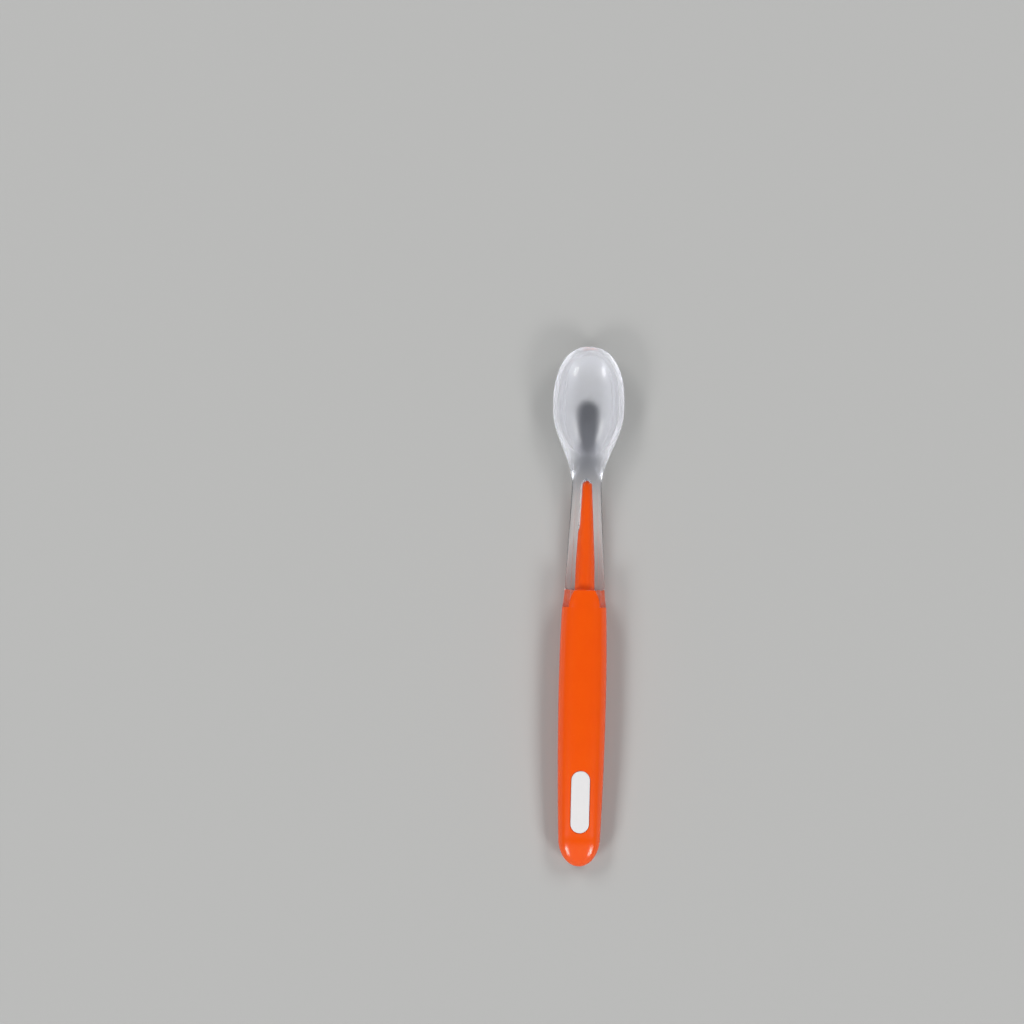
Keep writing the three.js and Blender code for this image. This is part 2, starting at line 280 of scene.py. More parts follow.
class StageSettings(bpy.types.PropertyGroup):
    """Floor, light and camera."""

    floor_colour: FloatVectorProperty(
        name="Floor", description="Colour of the floor",
        default=(0.42, 0.42, 0.412), min=0.0, max=1.0, size=3, subtype="COLOR",
    )
    light: FloatProperty(
        name="Light", description="Strength of all the lights together",
        default=1.0, min=0.0, max=4.0, subtype="FACTOR",
    )
    camera_height: FloatProperty(
        name="Camera height", description="Height of the camera above the spoon",
        default=1.0, min=0.2, max=2.0, subtype="DISTANCE", unit="LENGTH",
    )
    view_width: FloatProperty(
        name="View width", description="Width that the picture takes in at the spoon",
        default=0.2954, min=0.16, max=0.6, subtype="DISTANCE", unit="LENGTH", precision=4,
    )
    lean: FloatProperty(
        name="Lean", description="How far the spoon leans to the right in the picture",
        default=radians(1.243), min=-pi, max=pi, subtype="ANGLE", unit="ROTATION",
    )


class SpoonSettings(bpy.types.PropertyGroup):
    """Everything about the spoon that a user would change."""

    handle: PointerProperty(type=HandleSettings)
    tip: PointerProperty(type=TipSettings)
    inlay: PointerProperty(type=InlaySettings)
    stage: PointerProperty(type=StageSettings)


def sizes(spoon):
    """The pieces' lengths in millimetres, by their settings' names."""
    return SimpleNamespace(**{
        prop.identifier: getattr(group, prop.identifier) / MM
        for group in (spoon.handle, spoon.tip, spoon.inlay)
        for prop in group.bl_rna.properties
        if prop.subtype == "DISTANCE"
    })


# Curves and sections, in millimetres: d holds the pieces' sizes

Section = namedtuple("Section", "half_width mid up low up_power low_power")


def lerp(a, b, share):
    """The value a share of the way from a to b."""
    return a + (b - a) * share


def mirrored(right):
    """Columns from the right edge to the middle, carried on to the left edge."""
    return np.concatenate([right, -right[..., -2::-1]], axis=-1)


def crest(y, peak_y, peak, losses):
    """A parabola with its top at peak_y, less the first loss at the shoulder and the second at the dome."""
    ahead = y > peak_y
    share = (y - peak_y) / np.where(ahead, -peak_y, DOME_Y - peak_y)
    return peak - np.where(ahead, *losses) * share**2


def swell(y, start, end):
    """Half a cosine wave, from 0 at start to 1 at end."""
    return 0.5 - 0.5 * np.cos(pi * np.clip((y - start) / (end - start), 0, 1))


def soft_min(a, b, width):
    """The smaller of two heights, with the corner between them rounded over a width."""
    overlap = np.clip(1 - np.abs(a - b) / width, 0, None)
    return np.minimum(a, b) - overlap**2 * width / 4


def arch(x, power):
    """Height of a unit superellipse above x: the power-th root of 1 less x to the power."""
    return np.clip(1 - np.abs(x) ** power, 0, 1) ** (1 / power)


def edge_drop(distance, radius):
    """How far a quarter-round edge has dropped, at a distance from the edge."""
    inside = np.clip(1 - distance / radius, 0, 1)
    return radius * (1 - np.sqrt(1 - inside**2))


def grip_section(d, y):
    """The grip's section at y: parabolas for its width and thickness, and an elliptic dome at the tail."""
    dome = np.sqrt(np.clip(1 - (np.minimum(0, y - DOME_Y) / TAIL_DOME) ** 2, 0, 1))
    body = np.maximum(y, DOME_Y)
    half_width = crest(body, GRIP_WIDEST_Y, d.grip_half_width, GRIP_NARROWING)
    mid = crest(body, GRIP_THICKEST_Y, d.grip_thickness, GRIP_THINNING) / 2
    power = np.ones_like(mid)
    return Section(
        half_width * dome, mid, mid * dome, (mid + FLAT_CUT) * dome,
        CROWN_POWER * power, BELLY_POWER * power,
    )


def skin_section(d, y):
    """The silicone's section at y: the shoulder's, down to the neck's ellipse and out to the bowl's.

    The ears add a short flare at the shoulder.
    """
    foot = grip_section(d, np.zeros(()))
    down = np.clip((NECK_Y - y) / NECK_Y, 0, 1) ** NECK_TAPER
    bowl = swell(y, NECK_Y, BOWL_FLARE_END_Y)
    flare = EAR_FLARE * (1 - np.clip(1 - y / EAR_FLARE_LENGTH, 0, 1) ** 2) * down

    def along(at_shoulder, at_neck, at_bowl):
        return lerp(lerp(at_neck, at_shoulder, down), at_bowl, bowl)

    return Section(
        along(foot.half_width, NECK_HALF_WIDTH, d.bowl_half_width) - flare,
        along(foot.mid, NECK_MID, RIM_MID),
        along(foot.up, NECK_HALF_HEIGHT, RIM_CROWN) - flare,
        along(foot.low, NECK_HALF_HEIGHT, RIM_MID) - flare,
        along(foot.up_power, 2.0, 2.0),
        along(foot.low_power, 2.0, 2.0),
    )


def hollow_outline(d, y):
    """Power of the hollow's outline at y, and its length from the widest station: ahead of it or behind."""
    ahead = y > BOWL_WIDEST_Y
    length = np.where(ahead, BOWL_TIP_Y - d.rim_width - BOWL_WIDEST_Y, BOWL_WIDEST_Y - HEEL_Y)
    return np.where(ahead, FRONT_POWER, 2.0), length


def hollow_height(d, x, y):
    """Height of the bowl's inside: a bowl-shaped dip within the outline, and a ramp outside it."""
    power, length = hollow_outline(d, y)
    across = np.abs(x / (d.bowl_half_width - d.rim_width)) ** power
    along = np.abs((y - BOWL_WIDEST_Y) / length) ** power
    reach = (across + along) ** (1 / power)
    dip = HOLLOW_EDGE_Z - d.hollow_depth * np.sqrt(np.clip(1 - reach**2, 0, 1))
    return np.where(reach < 1, dip, HOLLOW_EDGE_Z + HOLLOW_RAMP * (reach - 1))


def hollow_share(d, y):
    """The hollow's share of the bowl's half width at y, and a set share where there is little hollow."""
    power, length = hollow_outline(d, y)
    reach = np.clip(np.abs(y - BOWL_WIDEST_Y) / length, 0, 1)
    hollow = (d.bowl_half_width - d.rim_width) * (1 - reach**power) ** (1 / power)
    half_width = skin_section(d, y).half_width * front_closing(y)
    least = lerp(*HOLLOW_SHARES, swell(y, NECK_Y, HEEL_Y))
    return np.clip(hollow / np.maximum(half_width, TINY), least, HOLLOW_SHARE_MOST)


def front_reach(y):
    """How far y lies towards the bowl's tip from its widest station, 0 to 1."""
    return np.clip((y - BOWL_WIDEST_Y) / (BOWL_TIP_Y - BOWL_WIDEST_Y), 0, 1)


def front_closing(y):
    """The share of the width that is left towards the bowl's tip: a superellipse."""
    return arch(front_reach(y), FRONT_POWER)


def tongue_half_width(d, y):
    """The tongue's half width at y: a parabola from its foot to its end."""
    return lerp(TONGUE_FOOT, TONGUE_END, (y / d.tongue_length) ** 2)


def seam_stations(d):
    """Stations along an ear's edge, and the share of the half width that the seam has there."""
    y = d.tongue_length * np.linspace(0, 1, 13) ** 0.7
    return y, (tongue_half_width(d, y) - d.seam_press) / skin_section(d, y).half_width


def tang_radius(y, angle, grow):
    """Distance from the tang's middle line to its skin in a direction: a tapered superellipse."""
    half_width = np.interp(y, TANG_Y, TANG_HALF_WIDTH) + grow
    half_height = np.interp(y, TANG_Y, TANG_HALF_HEIGHT) + grow
    across = np.abs(np.cos(angle) / half_width) ** TANG_POWER
    upright = np.abs(np.sin(angle) / half_height) ** TANG_POWER
    return (across + upright) ** (-1 / TANG_POWER)


def tang_ring(d, y, angle, grow=0.0, share=1.0):
    """Rings of points round the tang at each y, grown by a length and then drawn in to a share."""
    y, share = y[:, None], np.reshape(share, (-1, 1))
    radius = tang_radius(y, angle, grow) * share
    mid = skin_section(d, y).mid
    return np.stack([radius * np.cos(angle), y + 0 * angle, mid + radius * np.sin(angle)], axis=-1)


def dome_rows(start, length, steps):
    """Stations along a rounded end, closer near its tip, with the share of the size left at each."""
    angle = np.linspace(0, pi / 2, steps + 1)[1:-1]
    return start + length * np.sin(angle), np.cos(angle)


def pill_distance(d, x, y):
    """Distance outside the inlay pocket's outline, a pill: below zero inside it."""
    radius = d.inlay_width / 2
    straight = d.inlay_length / 2 - radius
    return np.hypot(x, np.clip(np.abs(y - INLAY_Y) - straight, 0, None)) - radius


def pocket_drop(d, x, y):
    """How far the skin is sunk round the inlay: a leaning wall inside the outline, a soft lip outside it."""
    outside = pill_distance(d, x, y)
    wall = d.pocket_depth * np.clip(-outside / WALL_SLOPE, 0, 1)
    lip = LIP_DROP * np.clip(1 - outside / LIP_WIDTH, 0, 1) ** 2 * (outside >= 0)
    return wall + lip


# Grids of points for each piece, one row for each station along it

SEAM_ROWS = np.array([0.0, 0.012, 0.035, 0.07, 0.11, 0.15, 0.2, 0.35, 0.6])
SHOULDER_ROWS = -SEAM_ROWS[::-1]
SEAT_ROWS = np.array([0.985, 0.9, 0.5, 0.1, 0.015, 0.0])
FOOT_ROWS = np.array([0.015, 0.06, 0.2])
FACE_ROWS = np.array([0.015, 0.1, 0.5, 0.9])
FLANK_LINES = np.append(np.linspace(1, 0.06, 22)[1:], [0.012, 0.004])
EDGE_LINES = np.array([0.0, 0.02, 0.06, 0.11, 0.17, 0.3])
POCKET_LINES = np.array([0.3, LIP_WIDTH, 0.05, 0.0, -WALL_SLOPE, -0.09, -0.3])


def pocket_columns(d, y, half_width):
    """Half widths at which the columns beside the pocket run: outlines of the pill grown by each offset.

    Past the pill's ends they close up to a small spread, and further off they fan out evenly.
    """
    radius = d.inlay_width / 2
    past = np.abs(y - INLAY_Y) - (d.inlay_length / 2 - radius)
    order = np.arange(len(POCKET_LINES))
    pill = np.sqrt(np.clip((radius + POCKET_LINES) ** 2 - np.clip(past, 0, None)[:, None] ** 2, 0, None))
    close = np.maximum(pill, 0.4 - 0.05 * order)
    even = half_width[:, None] * (0.4 - 0.03 * order)
    return lerp(close, even, swell(past, radius + 0.4, radius + 5)[:, None])


def grip_stations(d):
    """Stations along the grip: even steps, closer round the tail and where the pocket's ends are."""
    radius = d.inlay_width / 2
    straight = d.inlay_length / 2 - radius
    tail = dome_rows(DOME_Y, -TAIL_DOME, 30)[0][::-1]
    even = np.arange(DOME_Y, SHOULDER_ROWS[0] - 0.3, 1.0)
    arc = radius * np.sin(np.linspace(0, pi / 2, 15))
    end = straight + np.append(arc, radius + POCKET_LINES[:5])
    even = even[np.abs(np.abs(even - INLAY_Y) - straight - radius / 2) > radius / 2 + 0.4]
    body = np.unique(np.concatenate([even, INLAY_Y - end, INLAY_Y + end]).round(4))
    return np.concatenate([tail, body, SHOULDER_ROWS])


def handle_columns(d, y, half, half_width):
    """Where the columns run across the handle's top, right to left, and back across its underside.

    They lie close together along the edges, and on the top they follow the pocket's outline.
    """
    edge = half[:, None] - EDGE_LINES * (half_width / d.grip_half_width)[:, None]
    pocket = pocket_columns(d, y, half_width)
    between = lerp(edge[:, -1:], pocket[:, :1], np.linspace(0, 1, 8)[1:-1])
    inner = pocket[:, -1:] * np.linspace(1, 0, 9)[1:]
    below = lerp(edge[:, -1:], 0, np.linspace(0, 1, 15)[1:])
    top = np.concatenate([edge, between, pocket, inner], axis=1)
    return mirrored(top), -mirrored(np.concatenate([edge, below], axis=1))


def tang_rows(d, angle):
    """The tang's rings: a fillet out of the tongue's end, the tapered stem and the round nose."""
    turn = np.linspace(0, pi / 2, 7)
    fillet_y = d.tongue_length + TANG_FILLET * (1 - np.cos(turn))
    stem_y = np.append(np.arange(d.tongue_length + 0.8, TANG_Y[2] - 0.4, 0.9), TANG_Y[2])
    nose_y, nose_share = dome_rows(TANG_Y[2], TANG_TIP_Y - TANG_Y[2], 12)
    return np.concatenate([
        tang_ring(d, fillet_y, angle, TANG_FILLET * (1 - np.sin(turn))[:, None]),
        tang_ring(d, stem_y, angle),
        tang_ring(d, nose_y, angle, share=nose_share),
    ])


def handle_rows(d):
    """The handle's grid: grip, seats for the ears, tongue, and the tang out of the tongue's end.

    Each ring runs over the top, down the left flank, back underneath and up the right flank. On the tongue
    the flanks are upright walls.
    """
    grip_y = grip_stations(d)
    middle_rows = np.linspace(0.5, d.tongue_length - SEAM_ROWS[-1], 9)
    end_rows = d.tongue_length - SEAM_ROWS[:-1]
    tongue_y = np.unique(np.concatenate([FOOT_ROWS, middle_rows, end_rows]).round(4))
    y = np.concatenate([grip_y, 0 * SEAT_ROWS, tongue_y])
    bulge = np.concatenate([np.ones_like(grip_y), SEAT_ROWS, 0 * tongue_y])
    on_grip = np.arange(len(y)) < len(grip_y)
    both = zip(grip_section(d, y), skin_section(d, np.maximum(y, 0)))
    section = Section(*(np.where(on_grip, grip, skin) for grip, skin in both))
    end_drop = edge_drop(d.tongue_length - y, EDGE_ROUND)
    seat_drop = edge_drop(-y, EDGE_ROUND) * (bulge > 0)
    foot_share = TONGUE_FOOT / grip_section(d, np.zeros(())).half_width
    tongue = tongue_half_width(d, y) - end_drop
    half = np.where(y > 0, tongue, foot_share * section.half_width)
    top_x, low_x = handle_columns(d, y, half, section.half_width)

    def level(x, side, power, height):
        """Heights of the top or the underside, with the tongue's edges rounded."""
        rise = height[:, None] * arch(x / section.half_width[:, None], power[:, None])
        ease = edge_drop(half[:, None] - np.abs(x), EDGE_ROUND) * (y > 0)[:, None] * (1 - bulge[:, None])
        return section.mid[:, None] + side * (rise - np.maximum(ease, end_drop[:, None]))

    top_z = level(top_x, 1, section.up_power, section.up) - pocket_drop(d, top_x, y[:, None])
    low_z = -soft_min(-level(low_x, -1, section.low_power, section.low), 0.0, FLAT_ROUND)

    def flank(power, edge_z):
        """A flank's points from its edge to the parting line."""
        edge_angle = np.arccos(foot_share ** (power / 2))
        angle = edge_angle * FLANK_LINES
        share = (np.sin(angle) / np.sin(edge_angle)) ** (2 / power)
        full = section.half_width[:, None] * np.cos(angle) ** (2 / power)
        full = full - seat_drop[:, None] * np.clip((1 - share) / SEAT_EASE, 0, 1)
        x = lerp(half[:, None], full, bulge[:, None])
        return x, lerp(section.mid[:, None], edge_z[:, None], share)

    up_x, up_z = flank(CROWN_POWER, top_z[:, 0])
    down_x, down_z = flank(BELLY_POWER, low_z[:, 0])
    ridge = d.parting_ridge * np.clip(RIDGE_FADE * section.half_width / d.grip_half_width, 0, 1) * bulge
    line_x = (lerp(half, section.half_width - seat_drop, bulge) + ridge)[:, None]
    side_x = np.concatenate([up_x, line_x, down_x[:, ::-1]], axis=1)
    side_z = np.concatenate([up_z, section.mid[:, None], down_z[:, ::-1]], axis=1)
    x = np.concatenate([top_x, -side_x, low_x, side_x[:, ::-1]], axis=1)
    z = np.concatenate([top_z, side_z, low_z, side_z[:, ::-1]], axis=1)
    body = np.stack([x, y[:, None] + 0 * x, z], axis=-1)

    root_mid = skin_section(d, np.array(d.tongue_length)).mid
    tang = tang_rows(d, np.arctan2(z[-1] - root_mid, x[-1]))
    face = lerp(body[-1], tang[0], FACE_ROWS[:, None, None])
    tail = [0, TAIL_Y, grip_section(d, np.array(TAIL_Y)).mid]
    nose = [0, TANG_TIP_Y, skin_section(d, np.array(TANG_TIP_Y)).mid]
    return np.concatenate([body, face, tang]), tail, nose


def tip_columns(d):
    """Where the tip's columns run across the section: a fixed share, plus a share of the hollow's edge.

    They go over the right rim, across the hollow, over the left rim and back underneath. Some of them run
    along the ears' edges. The last of what it returns is 1 on the top and -1 underneath.
    """
    seam = seam_stations(d)[1]

    def spread(reach, ends):
        """Shares of reach from 1 to 0, even in angle, with columns along the ear's edge in between."""
        along = np.arccos(seam / reach)
        start, end = np.linspace(0, along[0], ends)[:-1], np.linspace(along[-1], pi / 2, ends)[1:]
        return np.cos(np.concatenate([start, along, end]))

    rim = np.cos(np.linspace(0, pi / 2, 13)[:-1])
    across = spread(HOLLOW_SHARES[0], 15)
    fixed = mirrored(np.concatenate([rim, 0 * across]))
    of_edge = mirrored(np.concatenate([1 - rim, across]))
    under = -mirrored(spread(1.0, 22))[1:-1]
    side = np.concatenate([np.ones_like(fixed), -np.ones_like(under)])
    return np.concatenate([fixed, under]), np.concatenate([of_edge, 0 * under]), side


def tip_skin(d, across, side, y, drop):
    """Points of the outside: superellipse sections that close towards the bowl's tip, less the hollow."""
    section = skin_section(d, y)
    front = front_reach(y) ** FRONT_POWER
    reach = (np.abs(across) ** FRONT_POWER * (1 - front) + front) ** (1 / FRONT_POWER)
    power = np.where(side > 0, section.up_power, section.low_power)
    height = np.where(side > 0, section.up, section.low) - drop
    x = across * (section.half_width * front_closing(y) - drop)
    z = section.mid + side * height * np.clip(1 - reach**power, 0, 1) ** (1 / power)
    hollowed = soft_min(z, hollow_height(d, x, y), HOLLOW_EDGE_ROUND)
    z = np.where((side > 0) & (z > section.mid + TINY), hollowed, z)
    level = -soft_min(-z, 0.0, FLAT_ROUND)
    return np.stack([x, y + 0 * x, np.where((side < 0) & (y < NECK_Y), level, z)], axis=-1)


def tip_stations(mouth):
    """Stations of the outside for each column: on from the mouth's edge, then straight across to the tip."""
    shares = np.concatenate([SEAM_ROWS, np.linspace(1.0, JOIN_Y, 14)]) / JOIN_Y
    neck_y = np.arange(JOIN_Y + 0.8, NECK_Y - 0.4, 0.8)
    heel_y = np.arange(NECK_Y, BOWL_WIDEST_Y, 0.35)
    turn = np.linspace(0, pi / 2, 64)[:-1]
    front_y = BOWL_WIDEST_Y + (BOWL_TIP_Y - BOWL_WIDEST_Y) * np.sin(turn) ** (2 / FRONT_POWER)
    straight_y = np.concatenate([neck_y, heel_y, front_y])
    return np.concatenate([mouth + (JOIN_Y - mouth) * shares[:, None], straight_y[:, None] + 0 * mouth])


def bore_rows(d, root, angle):
    """The bore's rings from its blind end to the tongue, and the share of the film of air at each point."""
    end_y, end_share = dome_rows(TANG_Y[2], BORE_END_Y - TANG_Y[2], 14)
    stem_y = np.concatenate([np.arange(TANG_Y[2], root + 0.3, -0.5), [root + 0.1, root]])
    y = np.concatenate([end_y[::-1], stem_y])
    share = np.concatenate([end_share[::-1], np.ones_like(stem_y)])
    film_edge = lerp(*FILM_ARC, swell(y, *FILM_Y))[:, None]
    film = swell(-np.cos(angle), film_edge, film_edge + FILM_BLEND)
    return tang_ring(d, y, angle, lerp(-CLING, d.air_film, film), share), film


def tip_rows(d):
    """The tip's grid, like a sock turned out at its mouth: bore, the ears' insides, then the outside.

    The last of what it returns is where air lies between the bore and the tang, 0 to 1 at each point.
    """
    fixed, of_edge, side = tip_columns(d)
    share = np.abs(fixed + of_edge * HOLLOW_SHARES[0])
    seam_y, seam_share = seam_stations(d)
    mouth = np.interp(share, seam_share[::-1], seam_y[::-1]) - d.seam_press
    y = tip_stations(mouth)
    across = fixed + of_edge * hollow_share(d, y)
    outside = tip_skin(d, across, side, y, edge_drop(y - mouth, EDGE_ROUND))

    seam = outside[0]
    root = d.tongue_length - d.seam_press
    hand = np.sign(fixed + of_edge)
    beside = share >= seam_share[-1] - TINY
    wall_y = lerp(root, seam[:, 1], np.linspace(0, 1, 14)[:, None])
    wall_x = np.where(beside, hand * (tongue_half_width(d, wall_y) - d.seam_press), seam[:, 0])
    walls = np.stack([wall_x, wall_y, seam[:, 2] + 0 * wall_y], axis=-1)
    angle = np.arctan2(walls[0, :, 2] - skin_section(d, np.array(root)).mid, walls[0, :, 0])
    bore, film = bore_rows(d, root, angle)

    def steps(a, b, stops):
        return lerp(a, b, np.array(stops)[:, None, None])

    rows = np.concatenate([
        bore,
        steps(bore[-1], walls[0], [0.1, 0.5, 0.9, 0.985]),
        walls,
        steps(walls[-1], seam, [0.02, 0.5, 0.98]),
        outside,
    ])
    air = np.zeros(rows.shape[:2])
    air[:len(film)] = film
    blind_end = [0, BORE_END_Y, skin_section(d, np.array(BORE_END_Y)).mid]
    return rows, blind_end, [0, BOWL_TIP_Y, RIM_MID], air


def inlay_rows(d):
    """The inlay's grid: rings of a pill out from the middle of its face, over its edge and back below.

    The face follows the crown of the handle's skin.
    """
    radius = d.inlay_width / 2 - d.inlay_gap
    straight = (d.inlay_length - d.inlay_width) / 2
    arc = np.linspace(0, pi, 37)
    side = np.linspace(-straight, straight, 18)[1:-1]
    cos = np.concatenate([np.cos(arc), -np.ones_like(side), -np.cos(arc), np.ones_like(side)])
    sin = np.concatenate([np.sin(arc), 0 * side, -np.sin(arc), 0 * side])
    middle = np.concatenate([straight + 0 * arc, side[::-1], -straight + 0 * arc, side])
    inset = INLAY_BEVEL * np.array([1, 0.7, 0.45, 0.25, 0.1, 0.02, 0])
    face = np.array([0.03, 0.2, 0.4, 0.6, 0.8, 0.92])
    wall = INLAY_THICKNESS * np.array([0.4, 0.8, 0.96, 1])
    back = np.array([0.9, 0.6, 0.3, 0.03])
    share = np.concatenate([face, np.ones(len(inset) + len(wall)), back])
    drawn_in = np.concatenate([0 * face, inset, [0, 0, 0, 0.04], 0 * back])
    depth = np.concatenate([0 * face, edge_drop(inset, INLAY_BEVEL), wall, INLAY_THICKNESS + 0 * back])
    x = share[:, None] * (radius - drawn_in)[:, None] * cos
    y = share[:, None] * (middle + (radius - drawn_in)[:, None] * sin) + INLAY_Y

    def crown(x, y):
        """Height of the inlay's face: the grip's crown, and a little proud of it."""
        section = grip_section(d, y)
        return section.mid + section.up * arch(x / section.half_width, CROWN_POWER) + d.inlay_proud

    rows = np.stack([x, y, crown(x, y) - depth[:, None]], axis=-1)
    top = crown(np.zeros(()), np.array(INLAY_Y))
    return rows, [0, INLAY_Y, top], [0, INLAY_Y, top - INLAY_THICKNESS]


def placed(name, data):
    """A new object in the scene that shows a mesh, a light or a camera."""
    made = bpy.data.objects.new(name, data)
    bpy.context.scene.collection.objects.link(made)
    return made


def moulding(name, rows, start, end, material, **marks):
    """A closed smooth mesh over a grid of rings, with a point at each end. Points that coincide are merged.

    Marks are further grids of values, each kept as an attribute of the points.
    """
    count, around = rows.shape[:2]
    points = np.concatenate([[start], rows.reshape(-1, 3), [end]]) * MM
    index = 1 + np.arange(count * around).reshape(count, around)
    beside = np.roll(index, -1, axis=1)
    quads = np.stack([index[:-1], index[1:], beside[1:], beside[:-1]], axis=-1).reshape(-1, 4)
    first = np.stack([0 * index[0], index[0], beside[0]], axis=-1)
    last = np.stack([0 * index[-1] + len(points) - 1, beside[-1], index[-1]], axis=-1)
    corners = np.concatenate([quads.ravel(), first.ravel(), last.ravel()])
    starts = np.concatenate([np.arange(0, quads.size, 4), np.arange(quads.size, len(corners), 3)])
    mesh = bpy.data.meshes.new(name)
    mesh.vertices.add(len(points))
    mesh.vertices.foreach_set("co", points.astype(np.float32).ravel())
    mesh.loops.add(len(corners))
    mesh.loops.foreach_set("vertex_index", corners.astype(np.int32))
    mesh.polygons.add(len(starts))
    mesh.polygons.foreach_set("loop_start", starts.astype(np.int32))
    mesh.update(calc_edges=True)
    for label, values in marks.items():
        values = np.concatenate([[0], values.ravel(), [0]])
        mesh.attributes.new(label, "FLOAT", "POINT").data.foreach_set("value", values.astype(np.float32))
    welded = bmesh.new()
    welded.from_mesh(mesh)
    bmesh.ops.remove_doubles(welded, verts=welded.verts, dist=WELD_DISTANCE)
    welded.to_mesh(mesh)
    welded.free()
    mesh.shade_smooth()
    mesh.materials.append(material)
    return placed(name, mesh)


# Finishes


def node(tree, kind, inputs=None, **values):
    """A shader node with its values set. An input takes a number, a colour or another node's output."""
    made = tree.nodes.new(kind)
    for name, value in values.items():
        setattr(made, name, value)
    for name, value in (inputs or {}).items():
        if isinstance(value, bpy.types.NodeSocket):
            tree.links.new(value, made.inputs[name])
        else:
            made.inputs[name].default_value = value
    return made


def maths(tree, operation, *values):
    """The output of a Math node. Its inputs take numbers or other nodes' outputs, in order."""
    return node(tree, "ShaderNodeMath", dict(enumerate(values)), operation=operation).outputs["Value"]


def vectors(tree, operation, *values):
    """The output of a Vector Math node, as maths gives it for numbers."""
    return node(tree, "ShaderNodeVectorMath", dict(enumerate(values)), operation=operation).outputs["Vector"]


def noise(tree, place, scale, detail):
    """The outputs of a noise texture."""
    return node(tree, "ShaderNodeTexNoise", {"Vector": place, "Scale": scale, "Detail": detail}).outputs


def ramp(tree, value, span, to=(0.0, 1.0), kind="LINEAR"):
    """A value carried from one span to another, and held at that one's ends."""
    made = node(tree, "ShaderNodeMapRange", {
        "Value": value, "From Min": span[0], "From Max": span[1], "To Min": to[0], "To Max": to[1],
    }, interpolation_type=kind)
    return made.outputs["Result"]


def metres(span):
    """A span in metres, from one in millimetres."""
    return tuple(value * MM for value in span)


def effect(name, inputs, outputs):
    """An empty shader node group with named sockets. Returns it with its input and output nodes' sockets."""
    tree = bpy.data.node_groups.new(name, "ShaderNodeTree")
    tree.interface.new_socket("Vector", in_out="INPUT", socket_type="NodeSocketVector")
    for label, default in inputs.items():
        socket = tree.interface.new_socket(label, in_out="INPUT", socket_type="NodeSocketFloat")
        socket.default_value = default
    for label in outputs:
        tree.interface.new_socket(label, in_out="OUTPUT", socket_type="NodeSocketFloat")
    return tree, tree.nodes.new("NodeGroupInput").outputs, tree.nodes.new("NodeGroupOutput").inputs


def moulded_grain():
    """Fine skin of a moulded surface, and the slow waves under it."""
    name = "Moulded grain"
    if name in bpy.data.node_groups:
        return bpy.data.node_groups[name]
    tree, given, out = effect(name, {"Grain Size": 9000.0, "Wave Size": 260.0}, ["Grain", "Waves"])
    place = given["Vector"]
    tree.links.new(noise(tree, place, given["Grain Size"], 3.0)["Fac"], out["Grain"])
    tree.links.new(noise(tree, place, given["Wave Size"], 1.5)["Fac"], out["Waves"])
    return tree


def handling_marks():
    """Hair scratches along the piece, thinned out in patches, and specks of dust."""
    name = "Handling marks"
    if name in bpy.data.node_groups:
        return bpy.data.node_groups[name]
    tree, given, out = effect(name, {"Scratch Size": 260.0, "Speck Size": 420.0}, ["Scratches", "Specks"])
    place = given["Vector"]
    lean = vectors(tree, "MULTIPLY", noise(tree, place, 90.0, 2.0)["Color"], (0.006, 0.006, 0.006))
    drawn = vectors(tree, "MULTIPLY", vectors(tree, "ADD", place, lean), (1.0, 0.12, 1.0))
    cells = node(
        tree, "ShaderNodeTexVoronoi", {"Vector": drawn, "Scale": given["Scratch Size"]},
        feature="DISTANCE_TO_EDGE",
    )
    line = ramp(tree, cells.outputs["Distance"], (0.004, 0.018), (1.0, 0.0))
    kept = ramp(tree, noise(tree, place, 330.0, 2.0)["Fac"], (0.52, 0.68))
    dots = node(tree, "ShaderNodeTexVoronoi", {"Vector": place, "Scale": given["Speck Size"]})
    tree.links.new(maths(tree, "MULTIPLY", line, kept), out["Scratches"])
    tree.links.new(ramp(tree, dots.outputs["Distance"], (0.03, 0.06), (1.0, 0.0)), out["Specks"])
    return tree


def mixed(tree, share, first, second):
    """The colour that a share, another node's output, picks between two. The first may be an output too."""
    made = node(tree, "ShaderNodeMix", {"Factor": share}, data_type="RGBA")
    sockets = {socket.identifier: socket for socket in (*made.inputs, *made.outputs)}
    if isinstance(first, bpy.types.NodeSocket):
        tree.links.new(first, sockets["A_Color"])
    else:
        sockets["A_Color"].default_value = (*first, 1.0)
    sockets["B_Color"].default_value = (*second, 1.0)
    return sockets["Result_Color"]


